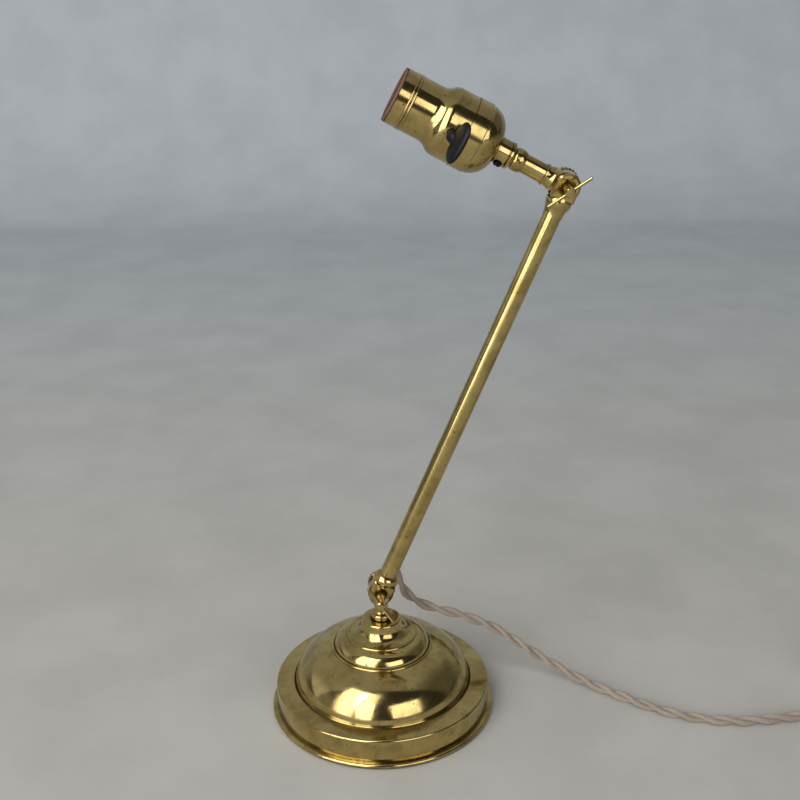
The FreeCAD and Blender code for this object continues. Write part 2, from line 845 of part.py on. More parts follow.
def set_screw_frame(screw_height):
    """A frame whose Z leaves the neck's axis on its underside, turned a little to the front."""
    lift = FreeCAD.Vector(0, 0, worth(screw_height))
    turn_away = FreeCAD.Rotation(Z, worth("set_screw_turn")).multiply(FreeCAD.Rotation(Y, -90))
    return FreeCAD.Placement(lift, turn_away)


def make_set_screw(screw_height):
    """The dark slotted screw that locks the neck in the lampholder's bushing."""
    body = turned(
        "set_screw",
        HEAD.multiply(set_screw_frame(screw_height)),
        [
            ("0", "set_screw_start"),
            ("set_screw_radius - 0.6", "set_screw_start"),
            ("set_screw_radius", "set_screw_start + 0.6"),
            ("set_screw_radius", "set_screw_end - 0.5"),
            ("set_screw_radius - 0.5", "set_screw_end"),
            ("0", "set_screw_end"),
        ],
    )
    slot = outline(
        body,
        "set_screw_slot",
        [
            ("-0.35", "set_screw_end - 0.9"),
            ("0.35", "set_screw_end - 0.9"),
            ("0.35", "set_screw_end + 1"),
            ("-0.35", "set_screw_end + 1"),
        ],
    )
    pocket(body, "set_screw_slot_cut", slot, "20")


# ---------------------------------------------------------------- lampholder


def key_frame():
    """Where the key's stem crosses the holder's axis. Z runs out along the stem, which leans back."""
    lift = FreeCAD.Vector(0, 0, worth("key_place"))
    swing = FreeCAD.Rotation(Z, -worth("key_swing"))
    return FreeCAD.Placement(lift, swing.multiply(FreeCAD.Rotation(X, 90 + worth("key_lean"))))


def key_hole(body, name):
    """The hole that the key's stem passes through with some play."""
    stem = circles(body, name + "_key_hole", [("0", "0", "key_stem_radius + 0.4")], "XY_Plane")
    stem.AttachmentOffset = key_frame()
    pocket(body, name + "_key_hole_cut", stem, "cap_radius + 9", False, True)


def make_holder_shells():
    """The domed cap, the shell with its beads and waist, and the fibre liner in the mouth."""
    wall = "holder_wall"
    nipple_hole = "nipple_radius + running_clearance"
    turned(
        "socket_cap",
        HEAD,
        [
            (nipple_hole, "bushing_end"),
            ("bushing_radius", "bushing_end"),
            ("cap_radius - 0.5", "cap_line - 0.3", "cap_curve", 1),
            ("cap_radius - 0.5", "cap_line + 0.3"),
            ("cap_radius", "cap_line + 0.9"),
            ("cap_radius", "cap_rim"),
            (f"cap_radius - {wall}", "cap_rim"),
            (f"cap_radius - {wall}", "cap_line + 1.1"),
            (f"cap_radius - {wall} - 0.5", "cap_line + 0.5"),
            (f"bushing_radius - {wall}", f"bushing_end + {wall}", "cap_curve", -1),
            (nipple_hole, f"bushing_end + {wall}"),
        ],
    )
    shell = turned(
        "socket_shell",
        HEAD,
        [
            (f"cap_radius - 2 * {wall} - 0.1", "shell_seat"),
            (f"cap_radius - {wall} - 0.1", "shell_seat"),
            (f"cap_radius - {wall} - 0.1", "cap_rim + 0.5"),
            ("body_radius", "cap_rim + 0.5"),
            ("body_radius", "body_end"),
            ("(body_radius + mouth_radius) / 2", "(body_end + waist_line) / 2", "7", 1),
            ("mouth_radius", "waist_line", "9", -1),
            ("mouth_radius", "bead_start"),
            ("mouth_radius", "bead_start + 1.4", "0.75", 1),
            ("mouth_radius", "bead_start + 1.8"),
            ("mouth_radius", "bead_start + 3.2", "0.75", 1),
            ("mouth_radius", "mouth_line"),
            (f"mouth_radius - {wall}", "mouth_line"),
            (f"mouth_radius - {wall}", "waist_line"),
            (f"(body_radius + mouth_radius) / 2 - {wall}", "(body_end + waist_line) / 2", "9", 1),
            (f"body_radius - {wall}", "body_end", "7", -1),
            (f"body_radius - {wall}", "cap_rim + 1.1"),
            (f"cap_radius - 2 * {wall} - 0.1", "cap_rim + 0.4"),
        ],
    )
    key_hole(shell, "shell")
    inner = f"mouth_radius - {wall} - liner_wall"
    turned(
        "socket_liner",
        HEAD,
        [
            (inner, "liner_foot"),
            (f"mouth_radius - {wall}", "liner_foot"),
            (f"mouth_radius - {wall}", "mouth_line"),
            (f"mouth_radius - {wall} / 2", "mouth_line"),
            (f"mouth_radius - {wall} / 2", "mouth_line + liner_reach"),
            (inner, "mouth_line + liner_reach"),
        ],
    )


def make_holder_inside():
    """The screw shell, the insulating block, the contacts, the terminals and the switch."""
    outer = "thread_radius + thread_wall"
    contact_foot = "thread_start - contact_height"
    turned(
        "screw_shell",
        HEAD,
        [
            ("8", "thread_start"),
            (outer, "thread_start"),
            (outer, "thread_end"),
            (f"{outer} + 0.7", "thread_end"),
            (f"{outer} + 0.7", "thread_end + thread_wall"),
            ("thread_radius", "thread_end + thread_wall"),
            ("thread_radius", "thread_start + thread_wall"),
            ("8", "thread_start + thread_wall"),
        ],
    )
    block = turned(
        "insulator_block",
        HEAD,
        [
            ("0", "block_start + 8"),
            ("9", "block_start + 8"),
            ("11", "block_start"),
            ("block_radius - 1", "block_start"),
            ("block_radius", "block_start + 1"),
            ("block_radius", "block_end - 5"),
            ("11", "block_end"),
            ("11", "thread_start"),
            ("7.5", "thread_start"),
            ("7.5", contact_foot),
            ("0", contact_foot),
        ],
    )
    key_hole(block, "block")
    turned(
        "centre_contact",
        HEAD,
        [
            ("0", contact_foot),
            ("contact_radius", contact_foot),
            ("contact_radius", contact_foot + " + 0.5"),
            ("contact_radius - 1.8", contact_foot + " + contact_height"),
            ("0", contact_foot + " + contact_height"),
        ],
    )
    screws = new_body("terminal_screws", HEAD)
    rounds = [("terminal_place", "0", "terminal_radius"), ("-terminal_place", "0", "terminal_radius")]
    heads = circles(screws, "terminal_heads", rounds, "XY_Plane")
    heads.AttachmentOffset = FreeCAD.Placement(
        FreeCAD.Vector(0, 0, worth("block_start") - 1.4), FreeCAD.Rotation()
    )
    pad(screws, "terminal_pads", heads, "1.4", False)
    wire_top = "block_start + 8"
    turned(
        "head_wires",
        HEAD,
        [
            ("0", "spigot_end - 10"),
            ("neck_bore - 0.1", "spigot_end - 10"),
            ("neck_bore - 0.1", wire_top),
            ("0", wire_top),
        ],
    )


def make_key():
    """The dark turn key of the switch: a stem, a hub and a flat oval paddle."""
    frame = HEAD.multiply(key_frame())
    turned(
        "switch_stem",
        frame,
        [
            ("0", "key_stem_start"),
            ("key_stem_radius", "key_stem_start"),
            ("key_stem_radius", "key_hub_start"),
            ("0", "key_hub_start"),
        ],
    )
    key = turned(
        "switch_key",
        frame,
        [
            ("0", "key_hub_start"),
            ("key_hub_radius - 0.5", "key_hub_start"),
            ("key_hub_radius", "key_hub_start + 0.5"),
            ("key_hub_radius - 0.4", "key_hub_end"),
            ("0", "key_hub_end"),
        ],
    )
    length = "paddle_half_length"
    corner = "5.5"
    far = "paddle_start + paddle_depth"
    paddle = outline(
        key,
        "paddle",
        [
            (f"-({length} - {corner})", "paddle_start", corner, 1),
            (f"{length} - {corner}", "paddle_start"),
            (length, f"paddle_start + {corner}", corner, 1),
            (length, f"{far} - {corner}"),
            (f"{length} - {corner}", far, corner, 1),
            (f"-({length} - {corner})", far),
            (f"-{length}", f"{far} - {corner}", corner, 1),
            (f"-{length}", f"paddle_start + {corner}"),
        ],
    )
    pad(key, "paddle_pad", paddle, "paddle_thickness")


# ---------------------------------------------------------------- cord

# The cord's route, each point chosen by hand: out of the back of the arm, down behind the lower
# joint, over the side of the base, and along the table to the coil.
CORD_ROUTE = [
    (5.17, 9.3, 96.67),
    (5.17, 19.3, 96.67),
    (7.4, 27.0, 88.5),
    (10.9, 29.5, 75.8),
    (15.5, 29.5, 64.5),
    (25.6, 28.0, 57.2),
    (36.8, 25.8, 54.0),
    (50.8, 24.0, 51.2),
    (62.0, 23.0, 47.4),
    (74.6, 22.5, 41.8),
    (92.8, 21.5, 28.8),
    (108.0, 20.2, 18.6),
    (124.0, 16.5, 9.6),
    (140.5, 9.6, 4.2),
    (156.5, -1.5, 3.4),
    (176.0, -15.5, 3.4),
    (198.0, -26.5, 3.4),
    (224.0, -32.0, 3.4),
    (250.0, -30.5, 3.4),
    (276.0, -25.5, 3.4),
    (298.0, -23.4, 3.4),
    (320.6, -23.3, 3.4),
]


def rounded_route(points):
    """Straight runs joined by tangent arcs, and the radius of each arc.

    An arc's radius is 0.45 of the shorter of its two runs, over the tangent of half the turn.
    """
    places = [FreeCAD.Vector(*point) for point in points]
    edges, radii = [], []
    start = places[0]
    for before, corner, after in zip(places, places[1:], places[2:]):
        back = before.sub(corner).normalize()
        ahead = after.sub(corner).normalize()
        half_turn = (math.pi - back.getAngle(ahead)) / 2
        trim = 0.45 * min(before.distanceToPoint(corner), after.distanceToPoint(corner))
        radius = trim / math.tan(half_turn)
        middle = back.add(ahead).normalize().multiply(radius / math.cos(half_turn) - radius)
        arc_start = corner.add(FreeCAD.Vector(back).multiply(trim))
        arc_end = corner.add(FreeCAD.Vector(ahead).multiply(trim))
        edges.append(Part.LineSegment(start, arc_start).toShape())
        edges.append(Part.Arc(arc_start, corner.add(middle), arc_end).toShape())
        radii.append(round(radius, 1))
        start = arc_end
    edges.append(Part.LineSegment(start, places[-1]).toShape())
    return Part.Wire(edges), radii


def make_cord():
    """The plain solids of the cord: the tube along its route, the put-away coil and its tail."""
    wire, radii = rounded_route(CORD_ROUTE)
    print("cord arc radii:", radii)
    first, second = (FreeCAD.Vector(*point) for point in CORD_ROUTE[:2])
    section = Part.Circle(first, second.sub(first), worth("cord_radius")).toShape()
    tube = wire.makePipeShell([Part.Wire([section])], True, False)
    expected = math.pi * worth("cord_radius") ** 2 * wire.Length
    if abs(tube.Volume / expected - 1) > 0.01:
        raise ValueError("the cord's tube isn't as long as its route")
    print("cord tube length:", round(wire.Length, 1))
    cord = document.addObject("Part::Feature", "cord_tube")
    cord.Shape = tube
    cord.Label = "cord_tube"
    cord.Placement = BASE
    nodes["cord_tube"] = cord
    coil_frame = FreeCAD.Placement(FreeCAD.Vector(worth("coil_x"), worth("coil_y"), 0), FreeCAD.Rotation())
    turned(
        "cord_coil",
        coil_frame,
        [
            ("coil_inner_radius", "0.05"),
            ("coil_outer_radius", "0.05"),
            ("coil_outer_radius", "coil_height - coil_edge"),
            ("coil_outer_radius - coil_edge", "coil_height"),
            ("coil_inner_radius + coil_edge", "coil_height"),
            ("coil_inner_radius", "coil_height - coil_edge"),
        ],
    )
    tail_start = FreeCAD.Vector(worth("tail_x"), worth("tail_start"), worth("tail_height"))
    tail_frame = FreeCAD.Placement(tail_start, FreeCAD.Rotation(X, -90))
    tail_length = "plug_rear - tail_start"
    turned(
        "cord_tail",
        tail_frame,
        [("0", "0"), ("cord_radius", "0"), ("cord_radius", tail_length), ("0", tail_length)],
    )


def make_plug():
    """A plain two-blade plug on the cord's end, lying beside the coil."""
    place = FreeCAD.Vector(worth("tail_x"), worth("plug_rear"), worth("tail_height"))
    frame = FreeCAD.Placement(place, FreeCAD.Rotation())
    body = new_body("plug_body", frame)
    half_width, half_height = "plug_width / 2", "tail_height"
    block = outline(
        body,
        "plug_outline",
        [
            (f"-({half_width} - 5)", "0"),
            (f"{half_width} - 5", "0"),
            (half_width, "9"),
            (half_width, "plug_length"),
            (f"-({half_width})", "plug_length"),
            (f"-({half_width})", "9"),
        ],
        "XY_Plane",
    )
    solid = pad(body, "plug_block", block, f"2 * {half_height}")
    face = worth(half_height) - 1e-3
    bevel(body, "plug_bevel", solid, "plug_edge", lambda point: abs(point.z) > face)
    blades = new_body("plug_blades", frame)
    low, high = "-blade_width / 2", "blade_width / 2"
    for index, side in enumerate(("-", "")):
        inner = f"{side}(blade_spacing / 2 - blade_thickness / 2)"
        outer = f"{side}(blade_spacing / 2 + blade_thickness / 2)"
        corners = [(inner, low), (outer, low), (outer, high), (inner, high)]
        sketch = outline(blades, f"blade_{index}", corners)
        offset = FreeCAD.Vector(0, 0, -worth("plug_length"))
        sketch.AttachmentOffset = FreeCAD.Placement(offset, FreeCAD.Rotation())
        pad(blades, f"blade_pad_{index}", sketch, "blade_length", False, True)


# ---------------------------------------------------------------- build, check and write


def check_document():
    """Stops if an object failed to build or a sub-part isn't a sound solid."""
    document.recompute()
    for item in document.Objects:
        if any(word in item.State for word in ("Invalid", "Error")):
            raise ValueError(f"{item.Label} failed to build: {item.State}")
    for name, item in nodes.items():
        shape = item.Shape
        if shape.isNull() or not shape.isValid() or shape.Volume <= 0:
            raise ValueError(f"{name} has no sound shape")


make_base_shell()
make_base_inside()
make_base_post()
make_forks()
make_arm()
make_thumbscrew("lower", "lower_bar_angle")
make_thumbscrew("upper", "upper_bar_angle")
make_neck()
make_holder_shells()
make_holder_inside()
make_key()
make_cord()
make_plug()
check_document()

os.makedirs("parts", exist_ok=True)
for name, item in nodes.items():
    item.Shape.exportStep(f"parts/{name}.step")
print(len(nodes), "sub-parts written")
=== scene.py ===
"""The looks of a bare bulb table lamp in aged brass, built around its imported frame."""

import json
import math

import bmesh
import bpy
import numpy as np
from mathutils import Matrix, Vector


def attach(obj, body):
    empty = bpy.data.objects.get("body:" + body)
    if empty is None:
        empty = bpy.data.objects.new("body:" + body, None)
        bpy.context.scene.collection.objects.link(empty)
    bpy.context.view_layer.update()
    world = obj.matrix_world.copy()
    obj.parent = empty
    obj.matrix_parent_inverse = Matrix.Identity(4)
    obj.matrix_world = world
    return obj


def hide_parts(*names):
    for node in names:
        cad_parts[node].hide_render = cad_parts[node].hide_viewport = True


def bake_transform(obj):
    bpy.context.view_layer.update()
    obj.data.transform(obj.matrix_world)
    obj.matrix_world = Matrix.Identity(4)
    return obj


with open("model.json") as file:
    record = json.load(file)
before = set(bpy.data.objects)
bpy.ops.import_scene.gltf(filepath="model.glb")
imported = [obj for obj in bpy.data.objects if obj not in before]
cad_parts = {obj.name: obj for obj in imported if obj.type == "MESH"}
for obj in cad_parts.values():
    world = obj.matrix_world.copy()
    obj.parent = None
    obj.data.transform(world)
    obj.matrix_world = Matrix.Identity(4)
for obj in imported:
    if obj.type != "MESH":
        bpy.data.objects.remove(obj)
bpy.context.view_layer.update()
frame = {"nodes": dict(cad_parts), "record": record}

MM = 0.001
scene = bpy.context.scene

# ---------------------------------------------------------------- camera

CAMERA_PLACE = (0.015372, -0.674833, 0.486880)
CAMERA_PITCH = 21.832
CAMERA_ROLL = 0.574
CAMERA_AZIMUTH = 0.155
CAMERA_LENS = 54

camera_data = bpy.data.cameras.new("camera")
camera_data.lens = CAMERA_LENS
camera_data.sensor_width = 36
camera = bpy.data.objects.new("camera", camera_data)
scene.collection.objects.link(camera)
camera.matrix_world = (
    Matrix.Translation(CAMERA_PLACE)
    @ Matrix.Rotation(math.radians(CAMERA_AZIMUTH), 4, "Z")
    @ Matrix.Rotation(math.radians(90 - CAMERA_PITCH), 4, "X")
    @ Matrix.Rotation(math.radians(-CAMERA_ROLL), 4, "Z")
)
scene.camera = camera

# ---------------------------------------------------------------- places on the lamp

LOWER_PIVOT = Vector((0, 0, 84.2)) * MM
ARM_REACH = 283.6 * MM
ARM_TILT = 22.5
HEAD_TURN = 84.4
ARM_FRAME = Matrix.Translation(LOWER_PIVOT) @ Matrix.Rotation(math.radians(ARM_TILT), 4, "Y")
HEAD_FRAME = (
    ARM_FRAME
    @ Matrix.Translation((0, 0, ARM_REACH))
    @ Matrix.Rotation(math.radians(-HEAD_TURN), 4, "Y")
)
BASE_FRAME = Matrix.Identity(4)

# ---------------------------------------------------------------- node and mesh helpers


def colour(text, alpha=1.0):
    """A six-digit sRGB colour as linear RGBA."""
    channels = [int(text[i : i + 2], 16) / 255 for i in (0, 2, 4)]
    linear = [c / 12.92 if c <= 0.04045 else ((c + 0.055) / 1.055) ** 2.4 for c in channels]
    return (*linear, alpha)


def add_node(tree, kind, *values, **settings):
    """Adds a shader node.

    values fill its inputs in order, and settings its properties or the inputs of that name.
    """
    node = tree.nodes.new("ShaderNode" + kind)
    named = {}
    for name, value in settings.items():
        if hasattr(node, name):
            setattr(node, name, value)
        else:
            named[name.replace("_", " ")] = value
    for key, value in [*enumerate(values), *named.items()]:
        if value is None:
            continue
        if isinstance(value, bpy.types.NodeSocket):
            tree.links.new(value, node.inputs[key])
        else:
            node.inputs[key].default_value = value
    return node


def math_node(tree, operation, *values):
    """The result of a Math node."""
    return add_node(tree, "Math", *values, operation=operation).outputs[0]


def ramp(tree, value, low, high, to_low=0.0, to_high=1.0, smooth=True):
    """value carried from low..high to to_low..to_high, held at the ends."""
    kind = "SMOOTHSTEP" if smooth else "LINEAR"
    node = add_node(tree, "MapRange", value, low, high, to_low, to_high, interpolation_type=kind)
    return node.outputs[0]


def mixed(tree, share, first, second):
    """first and second mixed as colours by share."""
    node = add_node(tree, "Mix", data_type="RGBA")
    for socket, value in ((0, share), (6, first), (7, second)):
        if isinstance(value, bpy.types.NodeSocket):
            tree.links.new(value, node.inputs[socket])
        else:
            node.inputs[socket].default_value = value
    return node.outputs[2]


def noise(tree, where, feature, detail=3.0, roughness=0.55, distortion=0.0):
    """Noise whose features are that many millimetres across, from 0 to 1."""
    scale = 1 / (feature * MM)
    node = add_node(tree, "TexNoise", where, Scale=scale, Detail=detail, Roughness=roughness)
    node.inputs["Distortion"].default_value = distortion
    return node.outputs["Fac"]


def bumped(tree, height, depth, normal=None):
    """A normal bent by height, which runs from 0 to 1 over depth millimetres."""
    node = add_node(tree, "Bump", Strength=1.0, Distance=depth * MM, Height=height)
    if normal is not None:
        tree.links.new(normal, node.inputs["Normal"])
    return node.outputs["Normal"]


def new_material(name):
    """An empty material with a Principled shader: (material, tree, shader)."""
    material = bpy.data.materials.new(name)
    material.use_nodes = True
    tree = material.node_tree
    return material, tree, tree.nodes["Principled BSDF"]


def local_place(tree, placed):
    """Object coordinates as seen from a frame: metres, with Z along that frame's axis."""
    where = add_node(tree, "TexCoord").outputs["Object"]
    turn = placed.to_euler()
    node = add_node(tree, "Mapping", where, vector_type="TEXTURE")
    node.inputs["Location"].default_value = placed.to_translation()
    node.inputs["Rotation"].default_value = turn
    return node.outputs[0]


def set_shader(tree, shader, **values):
    """Sets or links the Principled shader's inputs."""
    for name, value in values.items():
        socket = shader.inputs[name.replace("_", " ")]
        if isinstance(value, bpy.types.NodeSocket):
            tree.links.new(value, socket)
        else:
            socket.default_value = value


def grid_mesh(name, points, closed_u=False, closed_v=False, uv=None):
    """A mesh from an array of points [u, v, 3] whose faces join neighbours along u and v.

    Closed directions join the last row to the first. Faces look to the side of du x dv.
    """
    nu, nv = points.shape[:2]
    index = np.arange(nu * nv).reshape(nu, nv)
    rows = index if closed_u else index[:-1]
    next_rows = np.roll(index, -1, 0) if closed_u else index[1:]
    a, b = (rows, next_rows) if closed_v else (rows[:, :-1], next_rows[:, :-1])
    c = np.roll(next_rows, -1, 1) if closed_v else next_rows[:, 1:]
    d = np.roll(rows, -1, 1) if closed_v else rows[:, 1:]
    faces = np.stack([a, b, c, d], -1).reshape(-1, 4)
    mesh = bpy.data.meshes.new(name)
    mesh.from_pydata(points.reshape(-1, 3).tolist(), [], faces.tolist())
    if uv is not None:
        u_step, v_step = uv
        iu, iv = np.meshgrid(np.arange(rows.shape[0]), np.arange(a.shape[1]), indexing="ij")
        corners = np.stack([[iu, iv], [iu + 1, iv], [iu + 1, iv + 1], [iu, iv + 1]])
        flat = corners.transpose(2, 3, 0, 1).reshape(-1, 2) * np.array([u_step, v_step])
        layer = mesh.uv_layers.new(name="pattern")
        layer.data.foreach_set("uv", flat.astype(np.float32).ravel())
    mesh.polygons.foreach_set("use_smooth", np.ones(len(faces), bool))
    mesh.update()
    return mesh


def merged_mesh(name, meshes):
    """One mesh out of several, with their UVs kept and points that fall together made one."""
    whole = bmesh.new()
    for mesh in meshes:
        whole.from_mesh(mesh)
        bpy.data.meshes.remove(mesh)
    bmesh.ops.remove_doubles(whole, verts=whole.verts, dist=2e-6)
    bmesh.ops.dissolve_degenerate(whole, edges=whole.edges, dist=1e-7)
    joined = bpy.data.meshes.new(name)
    whole.to_mesh(joined)
    whole.free()
    joined.polygons.foreach_set("use_smooth", np.ones(len(joined.polygons), bool))
    joined.update()
    return joined


def add_piece(name, mesh, material, body, replaced=()):
    """Puts a mesh into the scene as a piece that rides on a body and stands for CAD nodes."""
    piece = bpy.data.objects.new(name, mesh)
    scene.collection.objects.link(piece)
    mesh.materials.append(material)
    if replaced:
        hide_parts(*replaced)
    if body:
        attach(piece, body)
    return piece


# ---------------------------------------------------------------- the cord's line

# The route of the cord's plain tube, in metres, as it leaves the arm, hangs over the base's side
# and runs along the table to the put-away coil.
CORD_ROUTE = [
    (0.00517, 0.0093, 0.09667),
    (0.00517, 0.0193, 0.09667),
    (0.0074, 0.0270, 0.0885),
    (0.0109, 0.0295, 0.0758),
    (0.0155, 0.0295, 0.0645),
    (0.0256, 0.0280, 0.0572),
    (0.0368, 0.0258, 0.0540),
    (0.0508, 0.0240, 0.0512),
    (0.0620, 0.0230, 0.0474),
    (0.0746, 0.0225, 0.0418),
    (0.0928, 0.0215, 0.0288),
    (0.1080, 0.0202, 0.0186),
    (0.1240, 0.0165, 0.0096),
    (0.1405, 0.0096, 0.0042),
    (0.1565, -0.0015, 0.0034),
    (0.1760, -0.0155, 0.0034),
    (0.1980, -0.0265, 0.0034),
    (0.2240, -0.0320, 0.0034),
    (0.2500, -0.0305, 0.0034),
    (0.2760, -0.0255, 0.0034),
    (0.2980, -0.0234, 0.0034),
    (0.3206, -0.0233, 0.0034),
]
COIL_CENTRE = (0.346, 0.024)
COIL_OUTER = 0.0473
COIL_PITCH = 0.0068
COIL_FLOOR = 0.0034
COIL_UPPER = 0.0098
BOTTOM_TURNS = 3
CLIMB = 0.5
TOP_TURNS = 2.75
TAIL_RADIUS = 0.0442
TAIL_END = (0.3902, 0.067, 0.008)
STEPS_PER_TURN = 16
# The winding pulls in by this much halfway up the climb, and the tail comes down to the plug over
# the last part of the top turns.
CLIMB_PULL = 0.0014
TAIL_DROP_START = 0.93
TAIL_DROP_RUN = 0.07
TAIL_TURN_Y = 0.035


def coil_points():
    """Control points of the coil: a spiral inwards on the table, a climb, a spiral out on top.

    At a share t of the whole winding the point is (r cos a, r sin a) about the coil's centre,
    with a = 360 t - 90 degrees. A control point lies outside its curve by 1 / cos(180 / steps).
    """
    inner = COIL_OUTER - COIL_PITCH * BOTTOM_TURNS
    whole = BOTTOM_TURNS + CLIMB + TOP_TURNS
    turns = np.arange(0.5, whole * STEPS_PER_TURN) / STEPS_PER_TURN
    climbed = np.clip((turns - BOTTOM_TURNS) / CLIMB, 0, 1)
    outward = np.clip((turns - BOTTOM_TURNS - CLIMB) / TOP_TURNS, 0, 1)
    radius = np.where(turns < BOTTOM_TURNS, COIL_OUTER - COIL_PITCH * turns, inner)
    radius = radius - CLIMB_PULL * np.sin(np.pi * climbed) + (TAIL_RADIUS - inner) * outward
    height = COIL_FLOOR + (COIL_UPPER - COIL_FLOOR) * climbed
    dropped = np.clip((outward - TAIL_DROP_START) / TAIL_DROP_RUN, 0, 1)
    height = height - (COIL_UPPER - TAIL_END[2]) * dropped
    angle = 2 * np.pi * (turns - 0.25)
    outside = radius / math.cos(math.pi / STEPS_PER_TURN)
    x = COIL_CENTRE[0] + outside * np.cos(angle)
    y = COIL_CENTRE[1] + outside * np.sin(angle)
    return np.stack([x, y, height], 1).tolist()


def spline_line(points):
    """The points along a smooth spline with these control points, in order."""
    curve = bpy.data.curves.new("cord_line", "CURVE")
    curve.dimensions = "3D"
    spline = curve.splines.new("NURBS")
    spline.points.add(len(points) - 1)
    for target, point in zip(spline.points, points):
        target.co = (*point, 1)
    spline.order_u = 3
    spline.use_endpoint_u = True
    spline.resolution_u = 10
    carrier = bpy.data.objects.new("cord_line", curve)
    scene.collection.objects.link(carrier)
    depsgraph = bpy.context.evaluated_depsgraph_get()
    mesh = bpy.data.meshes.new_from_object(carrier.evaluated_get(depsgraph))
    line = np.empty(len(mesh.vertices) * 3)
    mesh.vertices.foreach_get("co", line)
    bpy.data.meshes.remove(mesh)
    bpy.data.objects.remove(carrier)
    bpy.data.curves.remove(curve)
    return line.reshape(-1, 3)


def evenly(line, step):
    """The line's points again, one step apart along it: (points, distances)."""
    runs = np.linalg.norm(np.diff(line, axis=0), axis=1)
    along = np.concatenate([[0], np.cumsum(runs)])
    count = int(round(along[-1] / step))
    wanted = np.linspace(0, along[-1], count + 1)
    points = np.stack([np.interp(wanted, along, line[:, i]) for i in range(3)], 1)
    return points, wanted


def side_vectors(points):
    """Two unit vectors across a line at each of its points, carried along it without twist."""
    ahead = np.gradient(points, axis=0)
    ahead /= np.linalg.norm(ahead, axis=1)[:, None]
    across = np.cross(ahead[0], (0.0, 0.0, 1.0))
    sides = []
    for tangent in ahead:
        across = across - tangent * (across @ tangent)
        across = across / np.linalg.norm(across)
        sides.append(across)
    sides = np.array(sides)
    return sides, np.cross(ahead, sides)


def tube_points(points, radius, sides=12):
    """A round tube along a line: points p + r (cos a across + sin a up) for each angle a."""
    across, up = side_vectors(points)
    angle = np.linspace(0, 2 * np.pi, sides, endpoint=False)
    ring = across[:, None] * np.cos(angle)[:, None] + up[:, None] * np.sin(angle)[:, None]
    radius = np.broadcast_to(radius, len(points))
    return points[:, None] + ring * radius[:, None, None]


# ---------------------------------------------------------------- materials


def brass_material(name, placed, spun, drawn=0.0, tint="C2AC70", dull="A18C56"):
    """Brass that was polished years ago: mirror-like, with a brown film that dulls it in clouds.

    spun gives the fine rings that a lathe or spinning tool leaves round the frame's Z, drawn
    the straight lines along it. The eye gets sharp but slightly wavering reflections, dark
    pinhead specks, a few hair scratches, and near-black brown where two surfaces meet: grime
    and painted shade in the creases, from an ambient occlusion mask.
    """
    material, tree, shader = new_material(name)
    place = local_place(tree, placed)
    parts = add_node(tree, "SeparateXYZ", place).outputs
    flat = add_node(tree, "CombineXYZ", parts[0], parts[1]).outputs[0]
    radius = add_node(tree, "VectorMath", flat, operation="LENGTH").outputs["Value"]
    ring_place = add_node(tree, "CombineXYZ", radius, parts[2]).outputs[0]
    rings = noise(tree, ring_place, 0.55, detail=2)
    line_place = add_node(tree, "VectorMath", place, (1, 1, 0.02), operation="MULTIPLY").outputs[0]
    lines = noise(tree, line_place, 0.4, detail=2)
    clouds = noise(tree, place, 14, detail=5, roughness=0.62, distortion=0.4)
    smears = noise(tree, place, 3.2, detail=3, roughness=0.6)
    wobble = noise(tree, place, 26, detail=1)
    cells = add_node(tree, "TexVoronoi", place, Scale=1 / (3.4 * MM), Randomness=1.0)
    spots = ramp(tree, cells.outputs["Distance"], 0.1, 0.2, 1, 0)
    rarely = add_node(tree, "SeparateXYZ", cells.outputs["Color"]).outputs[0]
    spots = math_node(tree, "MULTIPLY", spots, ramp(tree, rarely, 0.66, 0.7))
    hair_place = add_node(tree, "Mapping", place, vector_type="POINT")
    hair_place.inputs["Rotation"].default_value = (0.5, 0.3, 0.9)
    hair_place.inputs["Scale"].default_value = (1, 0.03, 1)
    hairs = noise(tree, hair_place.outputs[0], 0.7, detail=1)
    hairs = ramp(tree, hairs, 0.71, 0.76)
    # Painted shade: ambient occlusion turns the brass near-black brown in creases and where parts
    # meet, grime and shade together, and roughens it there.
    corner = add_node(tree, "AmbientOcclusion", Distance=3.6 * MM)
    corner.samples = 4
    crease_grime_and_shade = ramp(tree, corner.outputs["AO"], 0.3, 0.86, 1, 0)
    film = ramp(tree, clouds, 0.36, 0.68)
    film = math_node(tree, "MULTIPLY", film, ramp(tree, smears, 0.2, 0.6, 0.55, 1))
    base = mixed(tree, film, colour(tint), colour(dull))
    base = mixed(tree, math_node(tree, "MULTIPLY", crease_grime_and_shade, 0.92), base, colour("181309"))
    base = mixed(tree, math_node(tree, "MULTIPLY", spots, 0.75), base, colour("2B2110"))
    grain = math_node(tree, "MULTIPLY", rings, spun)
    grain = math_node(tree, "MULTIPLY_ADD", lines, drawn, grain)
    rough = math_node(tree, "MULTIPLY_ADD", film, 0.09, 0.075)
    rough = math_node(tree, "MULTIPLY_ADD", grain, 0.06, rough)
    rough = math_node(tree, "MULTIPLY_ADD", crease_grime_and_shade, 0.2, rough)
    rough = math_node(tree, "MULTIPLY_ADD", hairs, 0.12, rough)
    normal = bumped(tree, wobble, 0.22)
    normal = bumped(tree, grain, 0.0035, normal)
    normal = bumped(tree, hairs, -0.003, normal)
    set_shader(tree, shader, Base_Color=base, Metallic=1.0, Roughness=rough, Normal=normal)
    return material


def metal_material(name, tint, dull, rough, feature=0.9, depth=0.02):
    """A duller metal with a fine uneven skin, for steel and iron that show as dark fittings."""
    material, tree, shader = new_material(name)
    place = add_node(tree, "TexCoord").outputs["Object"]
    fine = noise(tree, place, feature, detail=4)
    clouds = noise(tree, place, feature * 9, detail=3)
    base = mixed(tree, ramp(tree, clouds, 0.3, 0.7), colour(tint), colour(dull))
    roughness = math_node(tree, "MULTIPLY_ADD", fine, 0.2, rough - 0.1)
    normal = bumped(tree, fine, depth)
    set_shader(tree, shader, Base_Color=base, Metallic=1.0, Roughness=roughness, Normal=normal)
    return material


